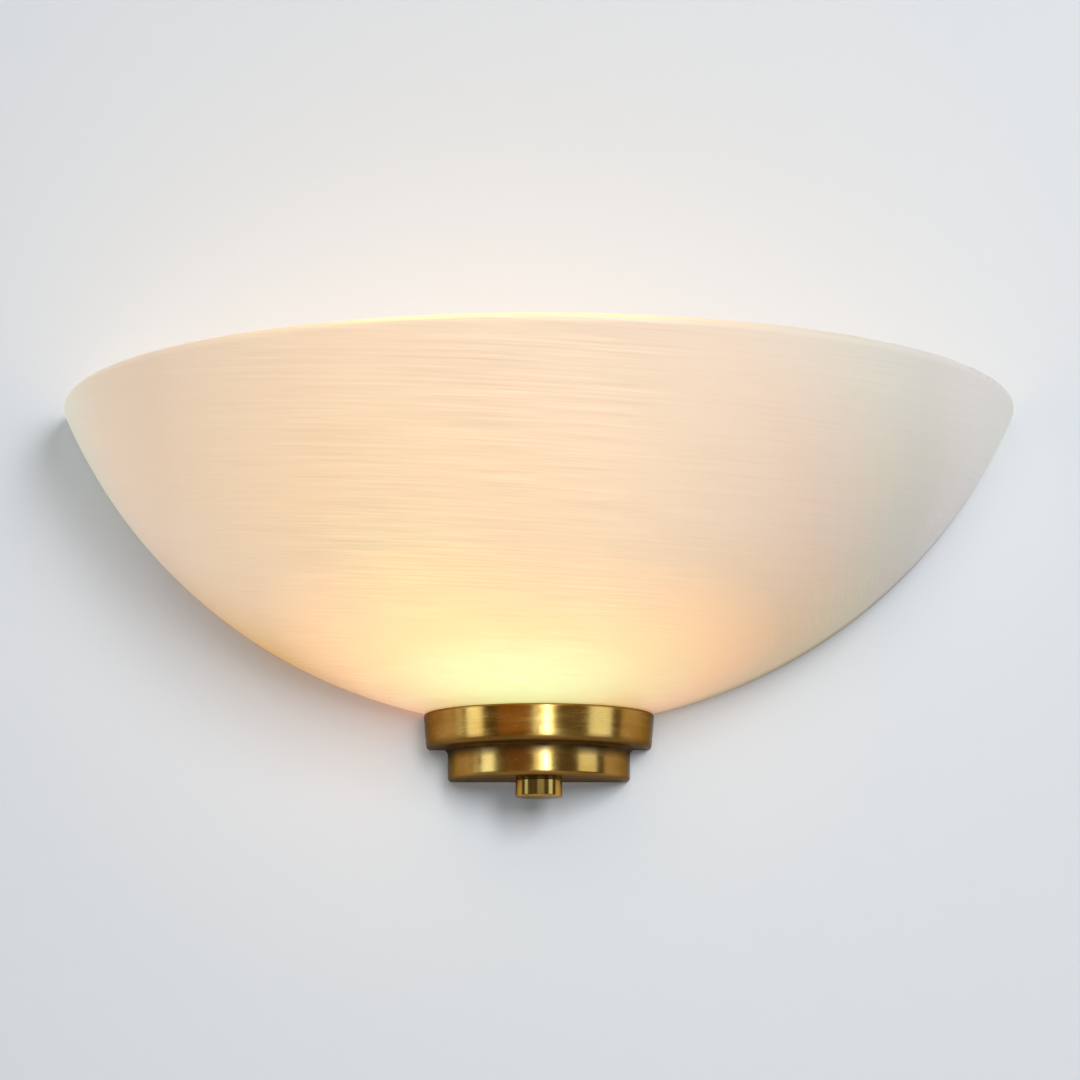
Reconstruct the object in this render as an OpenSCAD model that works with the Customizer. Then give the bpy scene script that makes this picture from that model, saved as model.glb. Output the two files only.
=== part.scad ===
// Half-bowl glass wall uplighter on a stepped brass cup. All sizes in millimetres.
// The origin is midway between the two wall slots, on the plane of the wall.
// X runs along the wall, -Y points out of the wall into the room, +Z is up.

/* [Glass shade] */
// Width of the glass across its rim
shade_w = 330; // [310:1:350]
// Height of the glass from its rim to its lowest point
shade_h = 110.2; // [104:0.1:118]
// Thickness of the glass
glass_t = 4.5; // [3.5:0.1:6]
// Height of the rim above the wall slots
rim_h = 42; // [38:0.5:50]
// Diameter of the hole in the bottom of the glass
glass_hole_d = 14; // [13.4:0.1:16]
// Gap between the wall and the ground back edges of the glass and the cup
wall_gap = 0.5; // [0:0.1:2]

/* [Brass cup] */
// Width of the cup across its rim
cup_w = 79.6; // [76:0.1:86]
// Height of the upper step of the cup
upper_step_h = 11.5; // [9:0.1:15]
// Draft of the upper step, as the loss of radius from rim to base
cup_draft = 1; // [0.5:0.1:1.5]
// Width of the lower step of the cup
lower_step_w = 62.9; // [56:0.1:68]
// Height of the lower step of the cup
lower_step_h = 11.1; // [8:0.1:14]
// Wall thickness of the spun brass
cup_t = 1.2; // [0.8:0.1:1.4]
// Radius of the two turned outer edges
cup_edge_r = 1.6; // [1.4:0.1:2.5]
// Radius of the hollow corner under the upper step
cup_fillet_r = 1.7; // [1:0.1:2.5]
// Width of the felt strip inside the rim of the cup
felt_w = 2.4; // [1.5:0.1:4]
// Height of the felt strip at the cup's wall
felt_h = 3; // [2:0.1:4]

/* [Finial] */
// Diameter of the finial nut and its washer
finial_d = 15.9; // [14.5:0.1:19]
// Height of the finial nut
finial_h = 5.8; // [5:0.1:9]
// Thickness of the washer between cup and finial nut
finial_washer_t = 1; // [0.8:0.1:2]
// Brass left under the blind hole of the finial nut
finial_floor = 1.2; // [1:0.1:1.6]
// Radius of the turned bottom edge of the finial nut
finial_edge_r = 0.7; // [0.3:0.1:1.2]
// Bevel on either side of the seam between washer and nut
finial_seam = 0.25; // [0.1:0.05:0.4]

/* [Threaded rod] */
// Outer diameter of the hollow threaded rod
rod_d = 10; // [9:0.1:10.5]
// Bore of the hollow threaded rod
rod_bore_d = 7.6; // [6:0.1:7.8]
// Distance of the rod's axis from the wall
rod_out = 19.6; // [18:0.1:21]
// Bevel at both ends of the rod
rod_bevel = 0.6; // [0.3:0.1:0.9]
// Length of rod that stands above its top nut
rod_above = 2; // [1:0.1:5]
// Width across the flats of the two rod nuts
rod_nut_af = 14; // [13:0.1:15]
// Height of each rod nut
rod_nut_h = 4; // [3:0.1:6]
// Diameter of the toothed lock washer
lock_washer_d = 17.6; // [16:0.1:18.6]
// Thickness of the toothed lock washer
lock_washer_t = 0.8; // [0.6:0.1:1.2]
// Number of inner teeth on the lock washer
lock_teeth = 9; // [6:1:12]

/* [Glass clamp] */
// Diameter of the steel disc that presses on the pad
clamp_disc_d = 33; // [30:0.5:34]
// Thickness of the steel clamp disc
clamp_disc_t = 1.5; // [1:0.1:2.5]
// Margin of the clamp disc beyond the pad
pad_margin = 1; // [0.5:0.1:2]
// Least thickness of the rubber pad over the glass
pad_t = 1.5; // [1:0.1:3]
// Wall of the silicone bush in the glass hole
bush_t = 1.5; // [1:0.1:1.6]
// Length of the bush below the glass
bush_below = 2.5; // [1:0.1:5]

/* [Wall plate] */
// Width of the wall plate
plate_w = 118; // [112:1:124]
// Distance of the plate's top edge above the wall slots
plate_up = 28; // [26.5:0.5:32]
// Distance of the plate's bottom edge below the wall slots
plate_down = 42; // [38:0.5:44]
// Thickness of the steel plate
plate_t = 1.5; // [1.2:0.1:2]
// Depth of the two returned sides of the plate
return_d = 7; // [5:0.1:9]
// Inner bend radius of the steel parts
bend_r = 1.5; // [1:0.1:2.5]
// Distance between the centres of the two wall slots
slot_spacing = 84; // [80:0.5:90]
// Overall length of each wall slot
slot_len = 13; // [9:0.5:16]
// Width of each wall slot
slot_w = 5.2; // [4.5:0.1:6]
// Radius of the plate's corners, on the returned sides
corner_r = 4; // [2:0.1:4.8]

/* [Cable entry] */
// Distance of the cable hole to the left of the middle
entry_x = 29; // [27:0.5:32]
// Distance of the cable hole below the wall slots
entry_down = 20; // [18:0.5:24]
// Diameter of the cable hole in the plate
entry_d = 12.6; // [11.5:0.1:14]
// Height of the pressed boss round the cable hole
boss_h = 2.2; // [2:0.1:3]
// Diameter of the bore of the rubber grommet
grommet_bore = 8.2; // [6.5:0.1:8.8]
// Overhang of each grommet flange beyond the cable hole
grommet_lip = 1.8; // [1.2:0.1:2.4]
// Thickness of each grommet flange
grommet_t = 1.6; // [1:0.1:1.9]

/* [Support arm] */
// Width of the folded steel arm
arm_w = 28; // [26:0.5:32]
// Thickness of the folded steel arm
arm_t = 2; // [1.5:0.1:3]
// Distance of the arm's top edge below the wall slots
arm_down = 8; // [6:0.5:11]
// Distance between the two rivets in the arm
rivet_spacing = 15; // [12:0.5:18]
// Diameter of the rivets
rivet_d = 4; // [3:0.1:5]

/* [Lamp bracket and lampholder] */
// Distance of the lamp's axis from the wall
lamp_out = 50; // [47:0.5:52]
// Width of the flat lamp bracket
bracket_w = 18; // [16:0.5:19]
// Thickness of the lamp bracket
bracket_t = 1.2; // [1:0.1:1.5]
// Room between the glass and the front end of the lamp bracket
bracket_clear = 6; // [5:0.1:8]
// Diameter of the ceramic lampholder
holder_d = 21; // [20:0.1:22]
// Height of the ceramic lampholder
holder_h = 17; // [16:0.1:19]
// Distance between the two holder screws
holder_screws = 28; // [27:0.5:32]
// Width of the lampholder's foot, front to back
foot_w = 13; // [12:0.1:15]
// Height of the lampholder's foot
foot_h = 4.5; // [3.5:0.1:5.5]
// Depth of the recess that takes the foot of the lamp
recess_d = 8; // [7:0.1:9]
// Gap between the foot of the lamp and the recess walls
recess_gap = 0.6; // [0.3:0.1:1]
// Distance between the two lamp contacts
pin_pitch = 9; // [8.5:0.1:9.5]
// Diameter of the small machine screws
screw_d = 3; // [2.5:0.1:3.2]

/* [Lamp] */
// Diameter of the lamp's glass
lamp_d = 13.6; // [12.5:0.1:14.4]
// Height of the lamp without its pins
lamp_h = 43; // [38:0.5:50]
// Wall of the lamp's glass
lamp_t = 0.9; // [0.7:0.1:1.2]
// Width of the flat foot of the lamp
lamp_foot_w = 13.4; // [12.8:0.1:14]
// Thickness of the flat foot of the lamp
lamp_foot_t = 4.6; // [4:0.1:5.5]
// Height of the flat foot of the lamp
lamp_foot_h = 13; // [11:0.5:15]
// Diameter of the wire of the lamp's pins
pin_d = 1; // [0.8:0.05:1.2]
// Width of each looped pin, between wire centres
pin_loop_w = 2.2; // [1.8:0.1:2.6]
// Length of the pins below the foot of the lamp
pin_len = 6.6; // [5.5:0.1:7.4]
// Height of the coil of the filament
coil_h = 12; // [8:0.5:14]
// Diameter of the coil of the filament
coil_d = 1.4; // [1:0.1:2]

/* [Wiring] */
// Diameter of the insulated leads
lead_d = 2.2; // [1.8:0.1:2.4]
// Distance between the poles of the terminal block
pole_pitch = 11; // [10.5:0.1:12]
// Width of each pole of the terminal block
pole_w = 7.6; // [7:0.1:8]
// Length of the terminal block along its poles
block_l = 17; // [15:0.1:19]
// Height of the terminal block off the plate
block_h = 10.5; // [9.5:0.1:12]
// Distance of the terminal block's middle above the wall slots
block_up = 14.5; // [13.5:0.1:16]
// Distance of the earth screw to the right of the middle
earth_x = 26; // [23:0.5:32]
// Distance of the earth screw below the wall slots
earth_down = 29; // [27:0.5:32]
// Diameter of the earth screw
earth_d = 4; // [3.5:0.1:4.5]

/* [Fits] */
// Gap between a rounded surface and what it seats on
seat_gap = 0.2; // [0.1:0.05:0.3]
// Radial clearance of everything that screws on the rod
thread_gap = 0.05; // [0.02:0.01:0.1]
// Radial clearance of a bolt in a plain hole
hole_gap = 0.3; // [0.2:0.05:0.5]
// Clearance of the lamp's pins between the contact leaves
contact_gap = 0.05; // [0.02:0.01:0.1]

/* [Hidden] */
$fn = 96;
ball_fn = 480;
EPS = 0.01;

// The glass is part of a ball: its middle surface runs through the lowest point and
// through the centre of the rounded rim.
lip_r = glass_t / 2;
lip_out = shade_w / 2 - lip_r;
bowl_rise = shade_h - glass_t;
ball_r = (lip_out * lip_out + bowl_rise * bowl_rise) / (2 * bowl_rise);
ball_out_r = ball_r + lip_r;
ball_in_r = ball_r - lip_r;
ball_z = rim_h - shade_h + lip_r + ball_r;
reach = shade_w;

// Height of the outer and the inner face of the glass at distance d from the ball's axis
function glass_under(d) = ball_z - sqrt(ball_out_r * ball_out_r - d * d);
function glass_over(d) = ball_z - sqrt(ball_in_r * ball_in_r - d * d);

// Cup: the lip touches the glass, and both steps hang below it
cup_r = cup_w / 2;
cup_base_r = cup_r - cup_draft;
lower_r = lower_step_w / 2;
lip_bead_r = cup_t / 2;
cup_lip_z = glass_under(cup_r - cup_t) - seat_gap - lip_bead_r;
step_z = cup_lip_z - upper_step_h;
cup_floor_z = step_z - lower_step_h;
draft_angle = atan(cup_draft / upper_step_h);
edge_back = (cup_edge_r / cos(draft_angle)) - cup_edge_r * tan(draft_angle);

// Finial, counted down from the cup
washer_z = cup_floor_z - finial_washer_t;
finial_z = washer_z - finial_h;
rod_r = rod_d / 2;
rod_end_z = finial_z + finial_floor;

// Clamp, counted up from the glass
pad_r = clamp_disc_d / 2 - pad_margin;
pad_top_z = glass_over(rod_out + pad_r) + seat_gap + pad_t;
disc_top_z = pad_top_z + clamp_disc_t;
shelf_z = disc_top_z + rod_nut_h;
shelf_top_z = shelf_z + arm_t;
strap_top_z = shelf_top_z + bracket_t;
lock_top_z = strap_top_z + lock_washer_t;
rod_top_z = lock_top_z + rod_nut_h + rod_above;
bush_r = rod_r + seat_gap + bush_t;

// Wall plate and arm, as distances out of the wall
plate_h = plate_up + plate_down;
arm_out = plate_t + arm_t;
leg_top_z = -arm_down;
rivet_top_z = leg_top_z - 2 * rivet_d;
rivet_head_r = rivet_d * 0.9;
rivet_head_h = rivet_d * 0.4;

// Cable entry
grommet_r = entry_d / 2 + grommet_lip;
grommet_back = boss_h - grommet_t - seat_gap / 2;
grommet_front = boss_h + plate_t + grommet_t + seat_gap / 2;

// Lamp bracket and lampholder. The bracket rises to clear the glass at its front end.
foot_r = foot_w / 2;
foot_l = holder_screws + foot_w;
bracket_z = glass_over(lamp_out + foot_r) + bracket_clear;
holder_z = bracket_z + bracket_t;
joggle_start = rod_out + bracket_w / 2 + 1;
joggle_end = joggle_start + 6;
holder_top_z = holder_z + holder_h;
lamp_z = holder_top_z - recess_d;
screw_r = screw_d / 2;
screw_head_r = screw_d * 0.93;
screw_head_h = screw_d * 0.65;
small_nut_af = screw_d * 1.83;
small_nut_h = screw_d * 0.8;
leaf_t = 0.4;
leaf_w = pin_loop_w + pin_d + 0.4;
clip_floor = 1.6;
clip_well_w = leaf_w + 0.8;
clip_well_t = pin_d + 2 * contact_gap + 2 * leaf_t + 0.4;
lead_bore_z = holder_z + clip_floor + lead_d / 2 + 0.6;

// Lamp
lamp_r = lamp_d / 2;
lamp_top_z = lamp_z + lamp_h;
dome_z = lamp_top_z - lamp_r - 1.5;
shoulder_z = lamp_z + lamp_foot_h + lamp_r - 2;
coil_x = lamp_r * 0.3;
coil_base_z = shoulder_z + 1;

// Terminal block, lying flat on the plate with its poles upright
barrel_out = plate_t + block_h * 0.45;
barrel_r = lead_d / 2 + 1;
barrel_bore_r = lead_d / 2 + 0.25;
block_low_z = block_up - block_l / 2;
turret_r = 2.9;
turret_h = 2.5;
turret_dz = block_l / 4;
terminal_screw_r = 1.6;
web_h = 4.5;
web_hole_r = screw_r + 0.2;

// Earth tag
tag_t = 0.8;
tag_r = earth_d + 0.4;
tag_barrel_r = lead_d / 2 + 0.7;
tag_barrel_l = 6;
tag_out = plate_t + tag_t / 2 + tag_barrel_r;
tag_barrel_z = -earth_down + tag_r + 0.5;

// ---- Shared shapes ----

// Keeps what lies in front of the wall by at least the given gap
module in_front(gap) {
    intersection() {
        children();
        translate([-reach, -2 * reach - gap, -2 * reach])
            cube([2 * reach, 2 * reach, 4 * reach]);
    }
}

// Moves to the axis of the threaded rod
module on_rod(z) {
    translate([0, -rod_out, z]) children();
}

// Moves to the axis of the lamp
module on_lamp(z) {
    translate([0, -lamp_out, z]) children();
}

// Turns a shape that is drawn up +Z so that it points out of the wall at x, z
module out_of_wall(x, z, out = 0) {
    translate([x, -out, z]) rotate([90, 0, 0]) children();
}

// Runs an outline drawn in Y and Z along X, centred on the middle
module along_x(w) {
    translate([-w / 2, 0, 0]) rotate([90, 0, 90]) linear_extrude(height = w) children();
}

// A slot along X with round ends, cut up Z
module slot(l, w, h) {
    translate([-(l - w) / 2, -w / 2, 0]) cube([l - w, w, h]);
    for (side = [-1, 1])
        translate([side * (l - w) / 2, 0, 0]) cylinder(d = w, h = h);
}

// A hexagon nut with bevelled corners, standing on z = 0
module hex_nut(af, h, bore_r) {
    corner_r = af / 2 / cos(30);
    bevel = corner_r - af / 2;
    difference() {
        intersection() {
            cylinder(r = corner_r, h = h, $fn = 6);
            rotate_extrude()
                polygon([[0, 0], [af / 2, 0], [corner_r, bevel * 0.6], [corner_r, h - bevel * 0.6],
                         [af / 2, h], [0, h]]);
        }
        translate([0, 0, -EPS]) cylinder(r = bore_r, h = h + 2 * EPS);
    }
}

// A pan-head screw: its head stands on z = 0 and its shank goes down
module pan_screw(head_r, head_h, r, shank) {
    difference() {
        union() {
            rotate_extrude()
                intersection() {
                    translate([0, head_h - 2 * head_r]) circle(r = 2 * head_r);
                    square([head_r, head_h]);
                }
            translate([0, 0, -shank]) cylinder(r = r, h = shank + EPS);
        }
        for (turn = [0, 90])
            rotate([0, 0, turn])
                translate([-head_r * 0.6, -head_r * 0.12, head_h * 0.45])
                    cube([head_r * 1.2, head_r * 0.24, head_h]);
    }
}

// ---- Glass ----

// Section of the shade about its upright axis, with a full-round rim
module shade_section() {
    intersection() {
        difference() {
            circle(r = ball_out_r, $fn = ball_fn);
            circle(r = ball_in_r, $fn = ball_fn);
        }
        polygon([[0, 0], [0, -2 * ball_out_r],
                 [2 * lip_out, 2 * (rim_h - lip_r - ball_z)]]);
    }
    translate([lip_out, rim_h - lip_r - ball_z]) circle(r = lip_r);
}

module glass_shade() {
    color("AntiqueWhite")
        difference() {
            in_front(wall_gap)
                translate([0, 0, ball_z]) rotate_extrude($fn = ball_fn) shade_section();
            on_rod(glass_under(0) - glass_t)
                cylinder(d = glass_hole_d, h = 4 * glass_t);
        }
}

// ---- Brass ----

// Filled outline of the cup, drawn inside its surface by the given depth, so that two
// outlines leave an even wall between them
module cup_outline(depth) {
    edge = cup_edge_r - depth;
    upper_low = step_z + depth;
    lower_low = cup_floor_z + depth;
    edge_x = cup_base_r - edge_back;
    side = depth / cos(draft_angle);
    // upper step, with its drafted side and rounded base
    polygon([[0, upper_low], [edge_x, upper_low],
             [edge_x + edge * cos(draft_angle), step_z + cup_edge_r - edge * sin(draft_angle)],
             [cup_r - side, cup_lip_z], [0, cup_lip_z]]);
    translate([edge_x, step_z + cup_edge_r]) circle(r = edge);
    // lower step
    translate([0, lower_low + edge]) square([lower_r - depth, upper_low - lower_low - edge]);
    translate([0, lower_low]) square([lower_r - cup_edge_r, upper_low - lower_low]);
    translate([lower_r - cup_edge_r, cup_floor_z + cup_edge_r]) circle(r = edge);
    // hollow corner between the steps
    difference() {
        translate([0, step_z - cup_fillet_r])
            square([lower_r + cup_fillet_r, cup_fillet_r + depth]);
        translate([lower_r + cup_fillet_r, step_z - cup_fillet_r])
            circle(r = cup_fillet_r + depth);
    }
}

module cup_section() {
    difference() {
        cup_outline(0);
        difference() {
            cup_outline(cup_t);
            translate([-EPS, cup_lip_z - EPS]) square([cup_r * 2, cup_r]);
        }
        translate([-EPS, cup_lip_z - 2 * EPS])
            square([cup_r - cup_t / cos(draft_angle) + EPS, cup_r]);
    }
    translate([cup_r - lip_bead_r / cos(draft_angle), cup_lip_z]) circle(r = lip_bead_r);
}

module gallery_cup() {
    color("DarkGoldenrod")
        difference() {
            in_front(wall_gap) rotate_extrude() cup_section();
            on_rod(cup_floor_z - EPS)
                cylinder(r = rod_r + hole_gap, h = cup_t + 2 * EPS);
        }
}

// Strip of felt stuck inside the rim of the cup, cut to the ball of the glass
module cup_felt() {
    felt_out = cup_r - cup_draft * felt_h / upper_step_h - cup_t / cos(draft_angle) - seat_gap;
    color("DimGray")
        in_front(wall_gap)
            rotate_extrude()
                difference() {
                    translate([felt_out - felt_w, cup_lip_z - felt_h])
                        square([felt_w, felt_h + lip_bead_r]);
                    translate([0, ball_z]) circle(r = ball_out_r + seat_gap, $fn = ball_fn);
                }
}

module finial_washer() {
    color("Goldenrod")
        on_rod(washer_z)
            rotate_extrude()
                polygon([[rod_r + hole_gap, 0], [finial_d / 2 - finial_seam, 0],
                         [finial_d / 2, finial_seam], [finial_d / 2, finial_washer_t],
                         [rod_r + hole_gap, finial_washer_t]]);
}

module finial_nut() {
    r = finial_d / 2;
    color("Goldenrod")
        on_rod(finial_z)
            difference() {
                rotate_extrude() {
                    square([r - finial_edge_r, finial_h]);
                    translate([0, finial_edge_r])
                        polygon([[0, 0], [r, 0], [r, finial_h - finial_edge_r - finial_seam],
                                 [r - finial_seam, finial_h - finial_edge_r],
                                 [0, finial_h - finial_edge_r]]);
                    intersection() {
                        translate([r - finial_edge_r, finial_edge_r]) circle(r = finial_edge_r);
                        square([r, finial_h]);
                    }
                }
                translate([0, 0, finial_floor])
                    cylinder(r = rod_r + thread_gap, h = finial_h);
            }
}

// ---- Rod and glass clamp ----

module threaded_rod() {
    rod_l = rod_top_z - rod_end_z;
    color("Silver")
        on_rod(rod_end_z)
            rotate_extrude()
                polygon([[rod_bore_d / 2, 0], [rod_r - rod_bevel, 0], [rod_r, rod_bevel],
                         [rod_r, rod_l - rod_bevel], [rod_r - rod_bevel, rod_l],
                         [rod_bore_d / 2, rod_l]]);
}

module rod_nut_top() {
    color("Gainsboro") on_rod(lock_top_z) hex_nut(rod_nut_af, rod_nut_h, rod_r + thread_gap);
}

module rod_nut_bottom() {
    color("Gainsboro") on_rod(disc_top_z) hex_nut(rod_nut_af, rod_nut_h, rod_r + thread_gap);
}

// Washer with inner teeth that bite the lamp bracket
module lock_washer() {
    tooth_gap = 360 / lock_teeth;
    color("Silver")
        on_rod(strap_top_z)
            difference() {
                cylinder(d = lock_washer_d, h = lock_washer_t);
                translate([0, 0, -EPS])
                    cylinder(r = rod_r + hole_gap, h = lock_washer_t + 2 * EPS);
                for (i = [0:lock_teeth - 1])
                    rotate([0, 0, i * tooth_gap])
                        translate([rod_r, -rod_r * 0.14, -EPS])
                            cube([rod_r * 0.42, rod_r * 0.28, lock_washer_t + 2 * EPS]);
            }
}

module clamp_disc() {
    color("Silver")
        on_rod(pad_top_z)
            difference() {
                cylinder(d = clamp_disc_d, h = clamp_disc_t);
                translate([0, 0, -EPS])
                    cylinder(r = rod_r + hole_gap, h = clamp_disc_t + 2 * EPS);
            }
}

// Rubber pad under the clamp disc: flat on top, cut to the ball of the glass below
module glass_pad() {
    depth = pad_top_z - glass_over(0);
    color("DarkSlateGray")
        difference() {
            intersection() {
                on_rod(pad_top_z - depth) cylinder(r = pad_r, h = depth);
                translate([0, 0, ball_z]) sphere(r = ball_in_r - seat_gap, $fn = ball_fn);
            }
            on_rod(pad_top_z - depth - EPS)
                cylinder(r = rod_r + hole_gap, h = depth + 2 * EPS);
        }
}

// Silicone bush that keeps the rod off the edge of the glass hole
module glass_bush() {
    low = glass_under(0) - bush_below;
    high = glass_over(rod_out - bush_r) - seat_gap;
    color("LightGray")
        on_rod(low)
            difference() {
                cylinder(r = bush_r, h = high - low);
                translate([0, 0, -EPS])
                    cylinder(r = rod_r + seat_gap, h = high - low + 2 * EPS);
            }
}

// ---- Wall plate, arm and cable entry ----

// Outline of the plate seen from above: a flat web with its two sides turned forward
module plate_outline() {
    flat = plate_w / 2 - plate_t - bend_r;
    translate([-flat, -plate_t]) square([2 * flat, plate_t]);
    for (side = [0, 1])
        mirror([side, 0]) {
            translate([flat, -plate_t - bend_r])
                intersection() {
                    difference() {
                        circle(r = bend_r + plate_t);
                        circle(r = bend_r);
                    }
                    square(bend_r + plate_t);
                }
            translate([plate_w / 2 - plate_t, -return_d])
                square([plate_t, return_d - plate_t - bend_r]);
        }
}

// Rounds the front corners of the returned sides, seen from the side
module side_mask() {
    along_x(plate_w + 2) {
        translate([-return_d, -plate_down + corner_r]) square([return_d, plate_h - 2 * corner_r]);
        translate([-return_d + corner_r, -plate_down]) square([return_d - corner_r, plate_h]);
        for (z = [-plate_down + corner_r, plate_up - corner_r])
            translate([-return_d + corner_r, z])
                intersection() {
                    circle(r = corner_r);
                    translate([-corner_r, -corner_r]) square([corner_r, 2 * corner_r]);
                }
    }
}

module rivet_places() {
    for (i = [0, 1])
        translate([0, 0, rivet_top_z - i * rivet_spacing]) children();
}

// Places of the two screws in the webs of the terminal block
module block_screw_places() {
    for (side = [-1, 1])
        translate([side * pole_pitch / 2, 0, block_up]) children();
}

module wall_plate() {
    through = 4 * plate_t + boss_h;
    color("WhiteSmoke")
        difference() {
            union() {
                intersection() {
                    translate([0, 0, -plate_down]) linear_extrude(height = plate_h) plate_outline();
                    side_mask();
                }
                // boss pressed forward round the cable hole
                out_of_wall(-entry_x, -entry_down, plate_t / 2)
                    cylinder(r = grommet_r + 1 + plate_t, h = boss_h + plate_t / 2);
            }
            // hollow behind the boss, which takes the back flange of the grommet
            out_of_wall(-entry_x, -entry_down, -EPS)
                cylinder(r = grommet_r + 1, h = boss_h + EPS);
            out_of_wall(-entry_x, -entry_down, -EPS) cylinder(d = entry_d, h = through);
            // wall slots
            for (side = [-1, 1])
                out_of_wall(side * slot_spacing / 2, 0, -plate_t)
                    slot(slot_len, slot_w, 3 * plate_t);
            // rivet holes, widened at the back so that the rivets end flush
            rivet_places() out_of_wall(0, 0, -EPS) cylinder(d = rivet_d, h = through);
            rivet_places()
                out_of_wall(0, 0, -EPS)
                    cylinder(d1 = rivet_d + plate_t, d2 = rivet_d, h = plate_t / 2);
            // tapped holes for the terminal block and the earth screw
            block_screw_places() out_of_wall(0, 0, -EPS) cylinder(d = screw_d, h = through);
            out_of_wall(earth_x, -earth_down, -EPS) cylinder(d = earth_d, h = through);
        }
}

module support_arm() {
    turn = bend_r + arm_t;
    color("Gainsboro")
        difference() {
            union() {
                along_x(arm_w) {
                    translate([-arm_out, shelf_z + turn])
                        square([arm_t, leg_top_z - shelf_z - turn]);
                    translate([-arm_out - bend_r, shelf_z + turn])
                        intersection() {
                            difference() {
                                circle(r = turn);
                                circle(r = bend_r);
                            }
                            translate([0, -turn]) square(turn);
                        }
                    translate([-rod_out, shelf_z])
                        square([rod_out - arm_out - bend_r, arm_t]);
                }
                on_rod(shelf_z) cylinder(d = arm_w, h = arm_t);
            }
            on_rod(shelf_z - EPS) cylinder(r = rod_r + hole_gap, h = arm_t + 2 * EPS);
            rivet_places()
                out_of_wall(0, 0, plate_t - EPS) cylinder(d = rivet_d, h = arm_t + 2 * EPS);
        }
}

// Two domed rivets, closed flush in the back of the plate
module arm_rivets() {
    dome_r = (rivet_head_r * rivet_head_r + rivet_head_h * rivet_head_h) / (2 * rivet_head_h);
    color("Silver")
        rivet_places() {
            out_of_wall(0, 0, seat_gap / 2)
                cylinder(d = rivet_d, h = arm_out - seat_gap / 2 + EPS);
            out_of_wall(0, 0, seat_gap / 2)
                cylinder(d1 = rivet_d + plate_t - 2 * seat_gap, d2 = rivet_d,
                         h = plate_t / 2 - seat_gap);
            out_of_wall(0, 0, arm_out)
                rotate_extrude()
                    intersection() {
                        translate([0, rivet_head_h - dome_r]) circle(r = dome_r);
                        square([rivet_head_r, rivet_head_h]);
                    }
        }
}

// Rubber grommet with a flange on either side of the plate
module cable_grommet() {
    bore_r = grommet_bore / 2;
    neck_r = (entry_d - seat_gap) / 2;
    flange = grommet_t;
    l = grommet_front - grommet_back;
    color("Black")
        out_of_wall(-entry_x, -entry_down, grommet_back)
            rotate_extrude() {
                translate([bore_r, 0]) square([neck_r - bore_r, l]);
                for (low = [0, l - flange])
                    translate([bore_r, low]) {
                        square([grommet_r - bore_r - flange / 2, flange]);
                        translate([grommet_r - bore_r - flange / 2, flange / 2])
                            circle(d = flange);
                    }
            }
}

// ---- Lampholder ----

// Places of the two screws that hold the lampholder
module holder_screw_places(z) {
    for (side = [-1, 1])
        on_lamp(z) translate([side * holder_screws / 2, 0, 0]) children();
}

module lamp_bracket() {
    color("Gainsboro")
        difference() {
            union() {
                along_x(bracket_w)
                    polygon([[-rod_out, shelf_top_z], [-joggle_start, shelf_top_z],
                             [-joggle_end, bracket_z], [-lamp_out, bracket_z],
                             [-lamp_out, holder_z], [-joggle_end, holder_z],
                             [-joggle_start, strap_top_z], [-rod_out, strap_top_z]]);
                on_rod(shelf_top_z) cylinder(d = bracket_w, h = bracket_t);
                on_lamp(bracket_z) slot(foot_l, foot_w, bracket_t);
            }
            on_rod(shelf_top_z - EPS) cylinder(r = rod_r + hole_gap, h = bracket_t + 2 * EPS);
            holder_screw_places(bracket_z - EPS)
                cylinder(r = screw_r + hole_gap, h = bracket_t + 2 * EPS);
        }
}

// Ceramic body: a round tower on a long foot, with a recess for the lamp
module lampholder_body() {
    recess_w = lamp_foot_w + 2 * recess_gap;
    recess_t = lamp_foot_t + 2 * recess_gap;
    bevel = 0.8;
    color("Ivory")
        difference() {
            union() {
                on_lamp(holder_z) slot(foot_l, foot_w, foot_h);
                on_lamp(holder_z)
                    rotate_extrude()
                        polygon([[0, 0], [holder_d / 2, 0], [holder_d / 2, holder_h - bevel],
                                 [holder_d / 2 - bevel, holder_h], [0, holder_h]]);
            }
            on_lamp(lamp_z)
                translate([-recess_w / 2, -recess_t / 2, 0])
                    cube([recess_w, recess_t, recess_d + EPS]);
            // wells for the contact clips
            for (side = [-1, 1])
                on_lamp(holder_z + clip_floor)
                    translate([side * pin_pitch / 2 - clip_well_w / 2, -clip_well_t / 2, 0])
                        cube([clip_well_w, clip_well_t, holder_h]);
            // bores for the two leads, in the side that faces the wall
            for (side = [-1, 1])
                translate([side * pin_pitch / 2, -lamp_out, lead_bore_z])
                    rotate([-90, 0, 0]) cylinder(d = lead_d + 2 * hole_gap, h = holder_d);
            holder_screw_places(holder_z - EPS)
                cylinder(r = screw_r + hole_gap, h = foot_h + 2 * EPS);
        }
}

// Two spring clips, each a folded strip that grips one looped pin
module lampholder_clips() {
    gap = pin_d / 2 + contact_gap;
    clip_z = holder_z + clip_floor + seat_gap;
    clip_h = lamp_z - clip_z - seat_gap;
    color("Peru")
        for (side = [-1, 1])
            on_lamp(clip_z)
                translate([side * pin_pitch / 2, 0, 0]) {
                    for (leaf = [-1, 1])
                        translate([-leaf_w / 2, leaf * (gap + leaf_t / 2) - leaf_t / 2, 0])
                            cube([leaf_w, leaf_t, clip_h]);
                    translate([-leaf_w / 2, -gap - leaf_t, 0])
                        cube([leaf_w, 2 * gap + 2 * leaf_t, leaf_t]);
                }
}

module lampholder_screws() {
    color("Silver")
        holder_screw_places(holder_z + foot_h)
            pan_screw(screw_head_r, screw_head_h, screw_r,
                      foot_h + bracket_t + small_nut_h + 0.5);
}

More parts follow.
